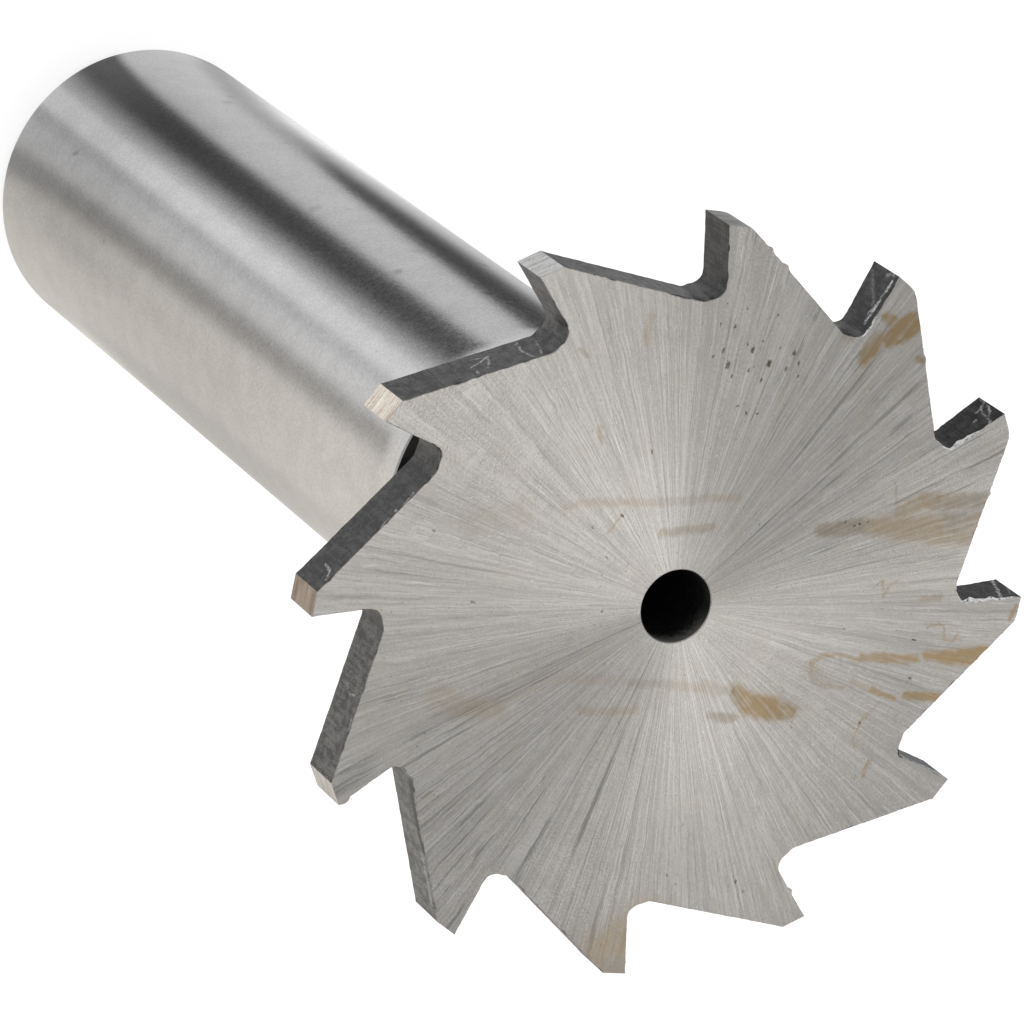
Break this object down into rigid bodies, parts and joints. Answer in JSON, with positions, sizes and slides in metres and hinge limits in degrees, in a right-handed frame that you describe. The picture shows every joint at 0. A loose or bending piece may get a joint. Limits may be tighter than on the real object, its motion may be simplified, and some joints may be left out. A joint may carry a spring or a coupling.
{
  "type": "woodruff keyseat cutter",
  "caption": "Woodruff keyseat cutter with a thin straight-toothed head, a short neck and a plain straight shank, ground from one bar.",
  "frame": {"origin": "centre of the flat end of the shank, which the cutter stands on", "axes": "+Z along the axis from the shank end to the toothed head; one tooth's cutting edge on +X"},
  "size_m": [0.0286, 0.0286, 0.054],
  "materials": {
    "steel": "ground high-speed steel, satin shank, radially ground face and dark milled gullets"
  },
  "bodies": {
    "root": {"keyseat_cutter": "steel"}
  },
  "joints": []
}
